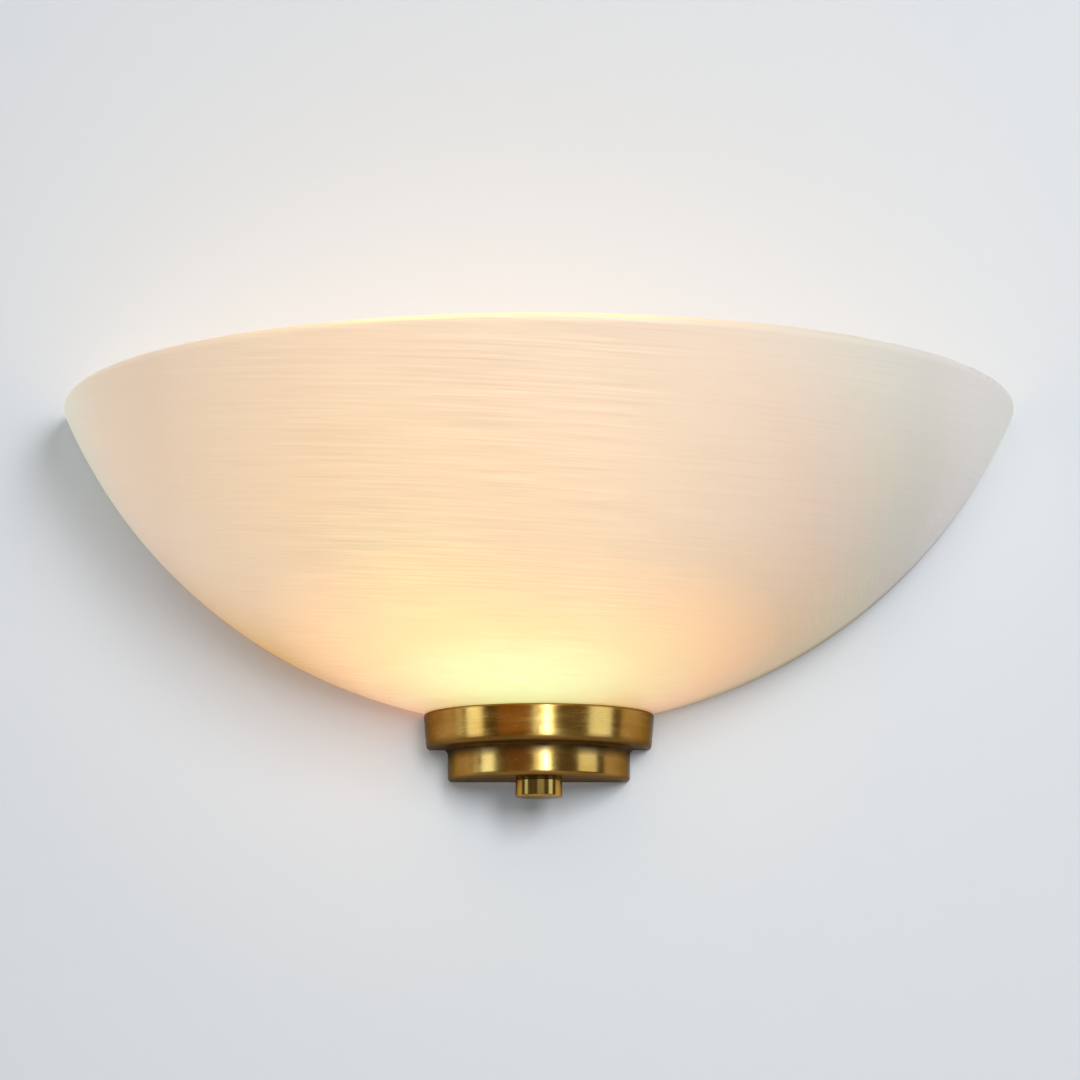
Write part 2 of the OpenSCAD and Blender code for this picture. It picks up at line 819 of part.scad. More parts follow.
module lampholder_nuts() {
    color("Gainsboro")
        holder_screw_places(bracket_z - small_nut_h)
            hex_nut(small_nut_af, small_nut_h, screw_r + thread_gap);
}

// ---- Lamp ----

// Hollow glass of the lamp, pinched flat at its foot, with the sealed tip on top
module lamp_envelope() {
    inner_r = lamp_r - lamp_t;
    color("LightCyan")
        on_lamp(0)
            difference() {
                union() {
                    translate([0, 0, shoulder_z]) cylinder(r = lamp_r, h = dome_z - shoulder_z);
                    translate([0, 0, dome_z]) sphere(r = lamp_r);
                    translate([0, 0, shoulder_z]) sphere(r = lamp_r);
                    translate([-lamp_foot_w / 2, -lamp_foot_t / 2, lamp_z])
                        cube([lamp_foot_w, lamp_foot_t, lamp_foot_h]);
                    translate([0, 0, dome_z]) cylinder(r = lamp_t, h = lamp_r + 1.5 - lamp_t);
                    translate([0, 0, lamp_top_z - lamp_t]) sphere(r = lamp_t);
                }
                translate([0, 0, shoulder_z]) cylinder(r = inner_r, h = dome_z - shoulder_z);
                translate([0, 0, dome_z]) sphere(r = inner_r);
                translate([0, 0, shoulder_z]) sphere(r = inner_r);
            }
}

// Two looped wire pins
module lamp_pins() {
    leg = pin_len - pin_loop_w / 2 - pin_d / 2;
    color("Silver")
        for (side = [-1, 1])
            on_lamp(lamp_z - leg)
                translate([side * pin_pitch / 2, 0, 0]) {
                    for (wire = [-1, 1])
                        translate([wire * pin_loop_w / 2, 0, 0])
                            cylinder(d = pin_d, h = leg);
                    rotate([-90, 0, 0])
                        rotate_extrude(angle = 180)
                            translate([pin_loop_w / 2, 0]) circle(d = pin_d);
                }
}

// Coiled filament, standing as a narrow arch on its two wires
module lamp_filament() {
    wire_d = coil_d * 0.4;
    wire_out = coil_x + wire_d / 2;
    inner_r = lamp_r - lamp_t;
    wire_low = shoulder_z - sqrt(inner_r * inner_r - wire_out * wire_out) + seat_gap / 2;
    color("DarkGray")
        on_lamp(0) {
            for (side = [-1, 1])
                translate([side * coil_x, 0, 0]) {
                    translate([0, 0, wire_low])
                        cylinder(d = wire_d, h = coil_base_z - wire_low + EPS);
                    translate([0, 0, coil_base_z]) cylinder(d = coil_d, h = coil_h + EPS);
                }
            translate([0, 0, coil_base_z + coil_h])
                rotate([90, 0, 0])
                    rotate_extrude(angle = 180) translate([coil_x, 0]) circle(d = coil_d);
        }
}

// ---- Wiring ----

module pole_places() {
    for (i = [-1:1])
        translate([i * pole_pitch, 0, 0]) children();
}

// Places of the two clamping screws of each pole
module terminal_screw_places() {
    pole_places()
        for (side = [-1, 1])
            translate([0, 0, block_up + side * turret_dz]) children();
}

module terminal_block() {
    color("White")
        difference() {
            union() {
                pole_places()
                    translate([-pole_w / 2, -plate_t - block_h, block_low_z])
                        cube([pole_w, block_h, block_l]);
                translate([-pole_pitch, -plate_t - web_h, block_low_z + block_l / 5])
                    cube([2 * pole_pitch, web_h, block_l * 3 / 5]);
                terminal_screw_places()
                    out_of_wall(0, 0, plate_t + block_h - EPS)
                        cylinder(r = turret_r, h = turret_h + EPS);
            }
            // wire ways
            pole_places()
                translate([0, -barrel_out, block_low_z - EPS])
                    cylinder(r = barrel_r + seat_gap, h = block_l + 2 * EPS);
            // screw wells
            terminal_screw_places()
                out_of_wall(0, 0, barrel_out)
                    cylinder(r = terminal_screw_r + hole_gap, h = block_h + turret_h);
            block_screw_places()
                out_of_wall(0, 0, plate_t - EPS) cylinder(r = web_hole_r, h = block_h);
        }
}

// Brass barrels that hold the wire ends
module terminal_barrels() {
    inset = 1.5;
    color("Gold")
        pole_places()
            difference() {
                translate([0, -barrel_out, block_low_z + inset])
                    cylinder(r = barrel_r, h = block_l - 2 * inset);
                translate([0, -barrel_out, block_low_z])
                    cylinder(r = barrel_bore_r, h = block_l);
                for (side = [-1, 1])
                    translate([0, 0, block_up + side * turret_dz])
                        out_of_wall(0, 0, barrel_out)
                            cylinder(r = terminal_screw_r + thread_gap, h = 2 * barrel_r);
            }
}

module terminal_screws() {
    seat = barrel_out + barrel_bore_r;
    l = plate_t + block_h + turret_h * 0.4 - seat;
    color("Silver")
        terminal_screw_places()
            out_of_wall(0, 0, seat)
                difference() {
                    cylinder(r = terminal_screw_r, h = l);
                    translate([-terminal_screw_r - EPS, -0.3, l - 0.8])
                        cube([2 * terminal_screw_r + 2 * EPS, 0.6, 1]);
                }
}

module block_screws() {
    color("Silver")
        block_screw_places()
            out_of_wall(0, 0, plate_t + web_h)
                pan_screw((pole_pitch - pole_w) / 2 - 0.1, 1.4, screw_r - thread_gap,
                          web_h + plate_t - seat_gap);
}

module earth_screw() {
    color("Gold")
        out_of_wall(earth_x, -earth_down, plate_t + tag_t)
            pan_screw(earth_d * 0.95, earth_d * 0.6, earth_d / 2 - thread_gap,
                      tag_t + plate_t - seat_gap);
}

// Ring tag under the earth screw, with the crimped barrel of the earth lead
module earth_tag() {
    color("Khaki")
        difference() {
            union() {
                out_of_wall(earth_x, -earth_down, plate_t) cylinder(r = tag_r, h = tag_t);
                translate([earth_x - tag_barrel_r * 0.7, -plate_t - tag_t, -earth_down])
                    cube([tag_barrel_r * 1.4, tag_t, tag_r + 1.5 + tag_barrel_l]);
                translate([earth_x, -tag_out, tag_barrel_z])
                    cylinder(r = tag_barrel_r, h = tag_barrel_l);
            }
            out_of_wall(earth_x, -earth_down, plate_t - EPS)
                cylinder(r = earth_d / 2 + hole_gap, h = tag_t + 2 * EPS);
            translate([earth_x, -tag_out, tag_barrel_z - EPS])
                cylinder(r = lead_d / 2 + seat_gap / 2, h = tag_barrel_l + 2 * EPS);
        }
}

// Points of a smooth curve through the chosen points
function smooth(p, steps) = [
    for (i = [0:len(p) - 2])
        for (j = [0:(i == len(p) - 2 ? steps : steps - 1)])
            let (t = j / steps, a = p[max(i - 1, 0)], b = p[i], c = p[i + 1],
                 d = p[min(i + 2, len(p) - 1)])
                0.5 * (2 * b + (c - a) * t + (2 * a - 5 * b + 4 * c - d) * t * t
                       + (3 * b - a - 3 * c + d) * t * t * t)
];

function unit(v) = v / norm(v);

// A round tube of eight sides along a route; side_on is a direction it never runs in
module tube_along(route, d, side_on) {
    sides = 8;
    last = len(route) - 1;
    rings = [
        for (i = [0:last])
            let (way = unit(route[min(i + 1, last)] - route[max(i - 1, 0)]),
                 u = unit(side_on - (side_on * way) * way), v = cross(way, u))
                for (k = [0:sides - 1])
                    route[i] + d / 2 * (cos(k * 360 / sides) * u + sin(k * 360 / sides) * v)
    ];
    walls = [
        for (i = [0:last - 1])
            for (k = [0:sides - 1])
                let (a = i * sides + k, b = i * sides + (k + 1) % sides)
                    each [[a, a + sides, b], [b, a + sides, b + sides]]
    ];
    ends = [[for (k = [0:sides - 1]) k], [for (k = [sides - 1:-1:0]) last * sides + k]];
    polyhedron(points = rings, faces = concat(walls, ends));
}

// Route of a lamp lead from the back of the lampholder, past the rod nut and up the
// arm to its pole of the terminal block
lead_past_nut = rod_nut_af / 2 / cos(30) + lead_d / 2 + 2;
lead_off_arm = arm_out + lead_d / 2 + 3;
function lamp_lead_route(side) = [
    [side * pin_pitch / 2, -lamp_out + holder_d / 2 - 4, lead_bore_z],
    [side * pin_pitch / 2, -lamp_out + holder_d / 2 + 2, lead_bore_z],
    [side * (lead_past_nut - 2), -rod_out - 10, lead_bore_z + 2],
    [side * lead_past_nut, -rod_out, lead_bore_z + 4],
    [side * lead_past_nut, -lead_off_arm - 1, lead_bore_z + 14],
    [side * pole_pitch, -lead_off_arm, (lead_bore_z + block_low_z) / 2],
    [side * pole_pitch, -barrel_out, block_low_z - 6],
    [side * pole_pitch, -barrel_out, block_low_z + 3]
];

// Route of the earth lead from the middle pole, behind the neutral lead, to its tag
lead_on_plate = plate_t + lead_d / 2 + 0.5;
earth_lead_route = [
    [0, -barrel_out, block_low_z + 3],
    [0, -barrel_out, block_low_z - 2],
    [pole_pitch * 0.4, -lead_on_plate - 0.7, block_low_z - 6.5],
    [pole_pitch, -lead_on_plate, block_low_z - 8.5],
    [earth_x - 4, -lead_on_plate, block_low_z - 10],
    [earth_x, -tag_out, tag_barrel_z + tag_barrel_l + 4],
    [earth_x, -tag_out, tag_barrel_z + tag_barrel_l + 1],
    [earth_x, -tag_out, tag_barrel_z + 1]
];

module live_lead() {
    color("SaddleBrown") tube_along(smooth(lamp_lead_route(-1), 4), lead_d, [1, 0, 0]);
}

module neutral_lead() {
    color("RoyalBlue") tube_along(smooth(lamp_lead_route(1), 4), lead_d, [1, 0, 0]);
}

module earth_lead() {
    color("YellowGreen") tube_along(smooth(earth_lead_route, 4), lead_d, [0, 1, 0]);
}

glass_shade();
gallery_cup();
cup_felt();
finial_washer();
finial_nut();
threaded_rod();
rod_nut_top();
rod_nut_bottom();
lock_washer();
clamp_disc();
glass_pad();
glass_bush();
wall_plate();
support_arm();
arm_rivets();
cable_grommet();
lamp_bracket();
lampholder_body();
lampholder_clips();
lampholder_screws();
lampholder_nuts();
lamp_envelope();
lamp_pins();
lamp_filament();
terminal_block();
terminal_barrels();
terminal_screws();
block_screws();
earth_screw();
earth_tag();
live_lead();
neutral_lead();
earth_lead();
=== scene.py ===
import math

import bmesh
import bpy
from mathutils import Matrix, Vector


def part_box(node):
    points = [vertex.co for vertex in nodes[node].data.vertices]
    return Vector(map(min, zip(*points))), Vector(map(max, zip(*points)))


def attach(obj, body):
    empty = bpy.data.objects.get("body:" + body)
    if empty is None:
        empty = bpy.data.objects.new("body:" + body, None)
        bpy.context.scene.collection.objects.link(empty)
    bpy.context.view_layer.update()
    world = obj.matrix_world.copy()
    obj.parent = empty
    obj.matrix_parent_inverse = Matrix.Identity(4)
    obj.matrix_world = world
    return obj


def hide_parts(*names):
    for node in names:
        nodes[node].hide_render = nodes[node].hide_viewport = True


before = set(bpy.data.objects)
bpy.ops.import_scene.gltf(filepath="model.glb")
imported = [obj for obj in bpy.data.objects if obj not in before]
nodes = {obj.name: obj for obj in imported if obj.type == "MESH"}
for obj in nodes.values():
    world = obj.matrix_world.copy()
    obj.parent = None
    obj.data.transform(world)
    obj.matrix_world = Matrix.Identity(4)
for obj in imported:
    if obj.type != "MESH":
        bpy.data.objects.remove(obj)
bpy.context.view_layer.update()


# ---- Camera ----
# It stands 1.24 m in front of the wall and 0.24 m below the rim of the glass, and looks up
# at the light by 8.9 degrees.
scene = bpy.context.scene
tilt_up = 0.156
camera_data = bpy.data.cameras.new("camera")
camera_data.sensor_width = 36
camera_data.lens = 119.67
camera = bpy.data.objects.new("camera", camera_data)
camera.location = (0.0004, -1.2363, -0.1972)
camera.rotation_euler = (math.pi / 2 + tilt_up, 0, 0)
scene.collection.objects.link(camera)
scene.camera = camera
scene.view_settings.view_transform = "Standard"


def start_finish(name, **settings):
    """A new material; returns it with its node tree and its one Principled shader."""
    material = bpy.data.materials.new(name)
    material.use_nodes = True
    tree = material.node_tree
    shader = tree.nodes["Principled BSDF"]
    for socket, value in settings.items():
        shader.inputs[socket.replace("_", " ")].default_value = value
    return material, tree, shader


def put(tree, kind, sockets=None, **settings):
    """Adds a node. Sockets take a constant or another node's output."""
    node = tree.nodes.new("ShaderNode" + kind)
    for name, value in settings.items():
        setattr(node, name, value)
    for name, value in (sockets or {}).items():
        if isinstance(value, bpy.types.NodeSocket):
            tree.links.new(value, node.inputs[name])
        else:
            node.inputs[name].default_value = value
    return node


def ramp(tree, factor, *stops):
    """A colour ramp through (place, colour) stops; a colour may be one grey number."""
    node = put(tree, "ValToRGB", {"Fac": factor})
    marks = node.color_ramp.elements
    while len(marks) < len(stops):
        marks.new(0.5)
    for mark, (place, colour) in zip(marks, stops):
        mark.position = place
        mark.color = (colour,) * 3 + (1,) if isinstance(colour, (int, float)) else (*colour, 1)
    return node.outputs["Color"]


def maths(tree, operation, *values):
    """One step of arithmetic on numbers or outputs."""
    return put(tree, "Math", dict(enumerate(values)), operation=operation).outputs[0]


def vectors(tree, operation, first, second):
    """One step of arithmetic on two colours or places."""
    return put(tree, "VectorMath", {0: first, 1: second}, operation=operation).outputs[0]


def scaled(tree, colour, amount):
    """A colour made brighter or darker."""
    return put(tree, "VectorMath", {0: colour, "Scale": amount}, operation="SCALE").outputs[0]


def mixed(tree, share, first, second):
    """The first colour where the share is 0, and the second where it is 1."""
    return put(tree, "MixRGB", {0: share, 1: first, 2: second}).outputs[0]


def noise(tree, place, scale, detail, **more):
    """A cloudy grey around 0.5; a higher scale gives a finer grain."""
    sockets = {"Vector": place, "Scale": scale, "Detail": detail, **more}
    return put(tree, "TexNoise", sockets).outputs[0]


def relief(tree, shader, height, strength, distance=0.0001):
    """Raises the surface by a grey pattern; distance is in metres."""
    bump = put(tree, "Bump", {"Height": height, "Strength": strength, "Distance": distance})
    tree.links.new(bump.outputs[0], shader.inputs["Normal"])


def dress(node, material):
    """Gives a carried-over node its finish."""
    mesh = nodes[node].data
    mesh.materials.clear()
    mesh.materials.append(material)


def shade_glass():
    material, tree, shader = start_finish(
        "satin_brushed_glass", Roughness=0.42, Specular_IOR_Level=0.35, Emission_Strength=1.0)
    place = put(tree, "TexCoord").outputs["Object"]
    x, y, z = put(tree, "SeparateXYZ", {"Vector": place}).outputs
    side = maths(tree, "MULTIPLY", maths(tree, "ABSOLUTE", x), 5.0)
    # the glass is part of a ball: the height of its middle, and its radius
    ball_z, ball_r = 0.1122, 0.1804

    def over(length, scale, *stops):
        """A ramp over a length, which scale brings to between 0 and 1."""
        return ramp(tree, maths(tree, "MULTIPLY", length, scale), *stops)

    # strokes of the brush: they lean a little, and run round the bowl
    lean_x, lean_y, brush_r = 0.055, 0.1, 0.15
    level = maths(tree, "ADD", z, maths(tree, "MULTIPLY", x, lean_x))
    level = maths(tree, "SUBTRACT", level, maths(tree, "MULTIPLY", y, lean_y))
    down = maths(tree, "DIVIDE", maths(tree, "SUBTRACT", ball_z, level), ball_r)
    across = maths(tree, "MULTIPLY", maths(tree, "ARCCOSINE", down), ball_r)
    turn = maths(tree, "ARCTAN2", x, maths(tree, "MULTIPLY", y, -1))
    along = maths(tree, "MULTIPLY", turn, brush_r)

    def strokes(length, width):
        """Noise drawn out along the brush; length and width in metres."""
        run = put(tree, "CombineXYZ", {0: maths(tree, "DIVIDE", along, length),
                                       1: maths(tree, "DIVIDE", across, width)})
        return noise(tree, run.outputs[0], 1.0, 2.0, Roughness=0.6)

    hairs, hair_depth = strokes(0.045, 0.001), 0.50
    bands, band_depth = strokes(0.09, 0.007), 0.09
    tone = maths(tree, "ADD",
                 maths(tree, "MULTIPLY", maths(tree, "SUBTRACT", hairs, 0.5), hair_depth),
                 maths(tree, "MULTIPLY", maths(tree, "SUBTRACT", bands, 0.5), band_depth))
    # they show most left of the middle, and in patches
    patches = noise(tree, place, 22.0, 2.0)
    seen = ramp(tree, maths(tree, "ADD", maths(tree, "MULTIPLY", x, 4.0), 0.5),
                (0.06, 0.25), (0.22, 0.8), (0.42, 1.0), (0.60, 0.8), (0.72, 0.3), (0.95, 0.2))
    seen = maths(tree, "MULTIPLY", seen, ramp(tree, patches, (0.3, 0.5), (0.6, 1.0)))
    tone = maths(tree, "ADD", maths(tree, "MULTIPLY", tone, seen), 1.0)

    # painted shade: the right side is darker low down, with a painted shadow line along the ground
    # back edge where it meets the wall
    right = maths(tree, "MULTIPLY",
                  over(maths(tree, "SUBTRACT", 0.03, z), 20.0, (0.0, 0.0), (1.0, 1.0)),
                  over(x, 5.0, (0.1, 0.0), (0.45, 1.0)))
    line = maths(tree, "MULTIPLY", over(y, -80.0, (0.15, 0.48), (1.0, 0.0)), right)
    tone = maths(tree, "MULTIPLY", tone, maths(tree, "SUBTRACT", 1.0, line))

    # short scratches near that edge, in a few groups; so many to a radian and to a metre
    nicks_round, nicks_out = 150, 60
    spread = maths(tree, "ARCTAN2", x, maths(tree, "SUBTRACT", ball_z, z))
    nicks = put(tree, "CombineXYZ", {0: maths(tree, "MULTIPLY", spread, nicks_round),
                                     1: maths(tree, "MULTIPLY", y, nicks_out)})
    nicks = ramp(tree, noise(tree, nicks.outputs[0], 1.0, 1.0), (0.52, 0.0), (0.64, 0.05))
    near_edge = over(y, -14.0, (0.3, 0.0), (0.5, 1.0), (0.75, 1.0), (0.95, 0.0))
    nicks = maths(tree, "MULTIPLY", nicks, near_edge)
    nicks = maths(tree, "MULTIPLY", nicks, ramp(tree, patches, (0.48, 0.0), (0.58, 1.0)))
    tone = maths(tree, "MULTIPLY_ADD", nicks, right, tone)

    # lamp light that comes through: a wide warm glow, and a small hot place over the cup
    glow_centre, glow_reach = (-0.0245, -0.067, 0.021), 0.25
    away = put(tree, "VectorMath", {0: place, 1: glow_centre}, operation="DISTANCE")
    away = maths(tree, "DIVIDE", away.outputs["Value"], glow_reach)
    wide = ramp(tree, away, (0.18, (0.649, 0.625, 0.252)), (0.28, (0.56, 0.362, 0.199)),
                (0.38, (0.447, 0.281, 0.161)), (0.48, (0.324, 0.191, 0.113)),
                (0.58, (0.16, 0.152, 0.11)), (0.68, (0.108, 0.091, 0.109)),
                (0.80, (0.0, 0.0, 0.0)))
    hot_centre, hot_reach, hot_squeeze = (-0.0085, -0.063, -0.0767), 0.08, (0.77, 1, 1)
    near = vectors(tree, "MULTIPLY", vectors(tree, "SUBTRACT", place, hot_centre), hot_squeeze)
    near = put(tree, "VectorMath", {0: near}, operation="LENGTH").outputs["Value"]
    hot = ramp(tree, maths(tree, "DIVIDE", near, hot_reach),
               (0.0, (0.05, 0.40, 0.26)), (0.25, (0.20, 0.43, 0.13)),
               (0.5, (0.187, 0.175, 0.0)), (0.75, (0.18, 0.065, 0.0)), (1.0, (0.0, 0.0, 0.0)))
    lit = vectors(tree, "ADD", wide, hot)
    tips = ramp(tree, side, (0.625, 0.0), (0.825, (0.15, 0.158, 0.133)))
    lit = vectors(tree, "ADD", lit, tips)
    left = over(x, -5.0, (0.35, 0.0), (0.58, (0.008, 0.030, 0.040)), (0.80, (0.02, 0.015, 0.0)))
    lit = vectors(tree, "ADD", lit, left)

    # painted light and shade: low at the sides less lamp light comes through and it is warmer, and
    # low on the right it is amber; the base colour below takes the same painted shade and tint
    white = (1, 1, 1, 1)
    low = maths(tree, "MULTIPLY", over(z, -20.0, (0.2, 0.0), (0.9, 1.0)),
                over(y, -10.0, (0.1, 1.0), (0.75, 0.0)))
    low = maths(tree, "MULTIPLY", low, ramp(tree, side, (0.22, 0.0), (0.45, 1.0)))
    low_side_shade = mixed(tree, low, white, (0.98, 0.78, 0.40, 1))
    under = maths(tree, "MULTIPLY", over(z, -20.0, (0.3, 0.0), (0.8, 1.0)),
                  over(x, 5.0, (0.08, 0.0), (0.30, 1.0)))
    amber_glow = mixed(tree, under, white, (1.02, 0.96, 0.81, 1))
    lit = vectors(tree, "MULTIPLY", vectors(tree, "MULTIPLY", lit, low_side_shade), amber_glow)

    # the inner face is brighter, and the middle of the rim carries a line of light
    centre = put(tree, "VectorMath", {0: place, 1: (0, 0, ball_z)}, operation="DISTANCE")
    inside = over(centre.outputs["Value"], 5.0, (0.885, 1.6), (0.895, 1.0))
    lit = scaled(tree, lit, maths(tree, "MULTIPLY", tone, inside))
    rim_middle = maths(tree, "ABSOLUTE", maths(tree, "ADD", x, 0.010))
    rim = maths(tree, "MULTIPLY", over(z, 20.0, (0.800, 0.0), (0.815, 1.0)),
                ramp(tree, rim_middle, (0.035, 1.0), (0.065, 0.25), (0.10, 0.0)))
    lit = vectors(tree, "ADD", lit, scaled(tree, (0.30, 0.30, 0.05), rim))
    tree.links.new(lit, shader.inputs["Emission Color"])

    # the glass's base colour: warmer near the lamp as painted lamp light, and darker low at the
    # sides and low on the right as painted shade
    base_with_painted_light = ramp(tree, away, (0.24, (0.62, 0.50, 0.34)), (0.6, (0.68, 0.64, 0.585)))
    base_with_painted_light = vectors(tree, "MULTIPLY", base_with_painted_light, low_side_shade)
    base_with_painted_light = mixed(tree, right, base_with_painted_light, (0.54, 0.49, 0.43, 1))
    base_with_painted_light = scaled(tree, vectors(tree, "MULTIPLY", base_with_painted_light, amber_glow), tone)
    tree.links.new(base_with_painted_light, shader.inputs["Base Color"])
    relief(tree, shader, maths(tree, "MULTIPLY", hairs, seen), 0.12, 0.0003)
    return material


dress("glass_shade", shade_glass())


# ---- Brass cup ----
# The stepped cup that carries the glass, spun from one disc of brass, brushed round its
# axis, browned and lacquered. The rod comes through its floor, and the finial nut holds it.
def brass(name, bright, dark, axis_y, roughness, corners=()):
    """Brushed round an upright axis. Corners are (height, reach) where it is painted near black,
    as shade.
    """
    material, tree, shader = start_finish(
        name, Metallic=1.0, Anisotropic=0.75, Anisotropic_Rotation=0.25,
        Specular_Tint=(0.50, 0.42, 0.34, 1), Coat_Weight=0.12, Coat_Roughness=0.12)
    place = put(tree, "TexCoord").outputs["Object"]
    from_axis = vectors(tree, "SUBTRACT", place, (0, axis_y, 0))
    x, y, z = put(tree, "SeparateXYZ", {"Vector": from_axis}).outputs
    turn = maths(tree, "ARCTAN2", x, y)
    radius = put(tree, "VectorMath", {0: from_axis}, operation="LENGTH").outputs["Value"]
    down = maths(tree, "ADD", radius, z)
    # long hairs of the brush: so many to a radian and to a metre
    hairs_round, hairs_down = 1.6, 1500
    hair = put(tree, "CombineXYZ", {0: maths(tree, "MULTIPLY", turn, hairs_round),
                                    1: maths(tree, "MULTIPLY", down, hairs_down)})
    hair = noise(tree, hair.outputs[0], 1.0, 4.0, Roughness=0.65)
    cloud = noise(tree, place, 70.0, 4.0)
    tone = maths(tree, "MULTIPLY_ADD", hair, 0.6, maths(tree, "MULTIPLY", cloud, 0.4))
    metal = ramp(tree, tone, (0.38, dark), (0.60, bright))

    # painted shade: near black at the corners, where the cup shades itself, and rougher there
    corner_shade = 0.0
    for height, reach in corners:
        gap = maths(tree, "ABSOLUTE", maths(tree, "SUBTRACT", z, height))
        left = maths(tree, "SUBTRACT", 1.0, maths(tree, "DIVIDE", gap, reach))
        corner_shade = maths(tree, "MAXIMUM", left, corner_shade)
    if corners:
        corner_shade = maths(tree, "MULTIPLY", corner_shade, ramp(tree, cloud, (0.3, 0.75), (0.6, 1.0)))
        metal = mixed(tree, corner_shade, metal, (0.025, 0.011, 0.003, 1))
        roughness = maths(tree, "MULTIPLY_ADD", corner_shade, 0.25, roughness)
        # painted shade: it is darker towards the wall
        wall_side_shade = ramp(tree, maths(tree, "MULTIPLY", y, -30.0), (0.1, (0.42, 0.56, 0.95)),
                    (1.0, (1.0, 1.0, 1.0)))
        metal = vectors(tree, "MULTIPLY", metal, wall_side_shade)
    tree.links.new(metal, shader.inputs["Base Color"])
    satin = maths(tree, "MULTIPLY", maths(tree, "SUBTRACT", hair, 0.5), 0.25)
    tree.links.new(maths(tree, "ADD", satin, roughness), shader.inputs["Roughness"])

    # the brushing runs round the axis, so the gloss is drawn out across it
    around = put(tree, "CombineXYZ", {0: maths(tree, "MULTIPLY", y, -1), 1: x})
    around = put(tree, "VectorTransform", {"Vector": around.outputs[0]},
                 vector_type="VECTOR", convert_from="OBJECT", convert_to="WORLD")
    around = put(tree, "VectorMath", {0: around.outputs[0]}, operation="NORMALIZE")
    tree.links.new(around.outputs[0], shader.inputs["Tangent"])
    relief(tree, shader, hair, 0.10)
    return material


# painted shade along the lip, in the hollow between the steps, and round the bottom edge
cup_corners = ((-0.0638, 0.0014), (-0.0772, 0.0036), (-0.0880, 0.0020))
dress("gallery_cup", brass("brushed_antique_brass", (0.68, 0.34, 0.066), (0.50, 0.21, 0.027),
                           axis_y=0, roughness=0.26, corners=cup_corners))


# ---- Finial nut and washer ----
# Turned from brass bar. The nut has a blind thread and screws on the rod from below, and
# the thin washer between it and the cup is painted near black, as the shade in that joint.
rod_low, rod_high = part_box("threaded_rod")
rod_y = (rod_low.y + rod_high.y) / 2
dress("finial_nut", brass("turned_brass", (0.66, 0.38, 0.085), (0.50, 0.25, 0.045),
                          axis_y=rod_y, roughness=0.2))
dress("finial_washer", brass("brass_painted_dark_as_shade", (0.22, 0.11, 0.02), (0.10, 0.045, 0.008),
                             axis_y=rod_y, roughness=0.3))


# ---- Felt strip ----
# A ring of pressed grey wool felt, cut from strip and cemented inside the lip of the cup,
# where it keeps the brass off the glass.
def wool_felt():
    material, tree, shader = start_finish(
        "pressed_wool_felt", Roughness=0.95, Sheen_Weight=0.35, Sheen_Roughness=0.5)
    place = put(tree, "TexCoord").outputs["Object"]
    fibres = noise(tree, place, 1400.0, 4.0, Distortion=1.5)
    tufts = noise(tree, place, 260.0, 2.0)
    both = maths(tree, "MULTIPLY_ADD", fibres, 0.6, maths(tree, "MULTIPLY", tufts, 0.4))
    tree.links.new(ramp(tree, both, (0.35, (0.045, 0.043, 0.040)), (0.65, (0.17, 0.165, 0.155))),
                   shader.inputs["Base Color"])
    relief(tree, shader, both, 0.6, 0.0003)
    return material


dress("cup_felt", wool_felt())


# ---- Wall plate and support arm ----
# Mild steel, powder-coated white. The plate is pressed, with a slot on either side for the
# wall screws. The arm is folded from strip and held to the plate by two rivets.
def powder_coat():
    material, tree, shader = start_finish("white_powder_coat", Roughness=0.42)
    place = put(tree, "TexCoord").outputs["Object"]
    peel = noise(tree, place, 900.0, 2.0)
    dust = noise(tree, place, 35.0, 5.0)
    tree.links.new(ramp(tree, dust, (0.35, (0.70, 0.69, 0.65)), (0.60, (0.82, 0.82, 0.80))),
                   shader.inputs["Base Color"])
    relief(tree, shader, peel, 0.25)
    return material


coated = powder_coat()
dress("wall_plate", coated)
dress("support_arm", coated)


# ---- Zinc-plated steel parts ----
# Rivets, nuts, washers, screws, the clamp disc and the lamp bracket: steel, stamped, turned
# or folded, then barrel-plated, which leaves a soft bloom and fine scuffs.
def zinc_plate(name, rolled):
    """Rolled says how much of the mill's rolling marks still shows, from 0 to 1."""
    material, tree, shader = start_finish(name, Metallic=1.0)
    place = put(tree, "TexCoord").outputs["Object"]
    bloom = noise(tree, place, 110.0, 6.0, Roughness=0.65)
    marks = noise(tree, vectors(tree, "MULTIPLY", place, (60, 2200, 2200)), 1.0, 2.0)
    tree.links.new(ramp(tree, bloom, (0.35, (0.50, 0.51, 0.53)), (0.52, (0.66, 0.66, 0.65)),
                        (0.68, (0.60, 0.62, 0.66))), shader.inputs["Base Color"])
    dull = maths(tree, "MULTIPLY_ADD", marks, 0.14 * rolled, maths(tree, "MULTIPLY", bloom, 0.5))
    tree.links.new(dull, shader.inputs["Roughness"])
    relief(tree, shader, marks, 0.12 * rolled)
    return material


strip_zinc = zinc_plate("zinc_strip", rolled=1.0)
barrel_zinc = zinc_plate("zinc_barrel_plated", rolled=0.4)
for node in ("clamp_disc", "lamp_bracket"):
    dress(node, strip_zinc)
for node in ("arm_rivets", "rod_nut_top", "rod_nut_bottom", "lock_washer", "lampholder_screws",
             "lampholder_nuts", "terminal_screws", "block_screws"):
    dress(node, barrel_zinc)


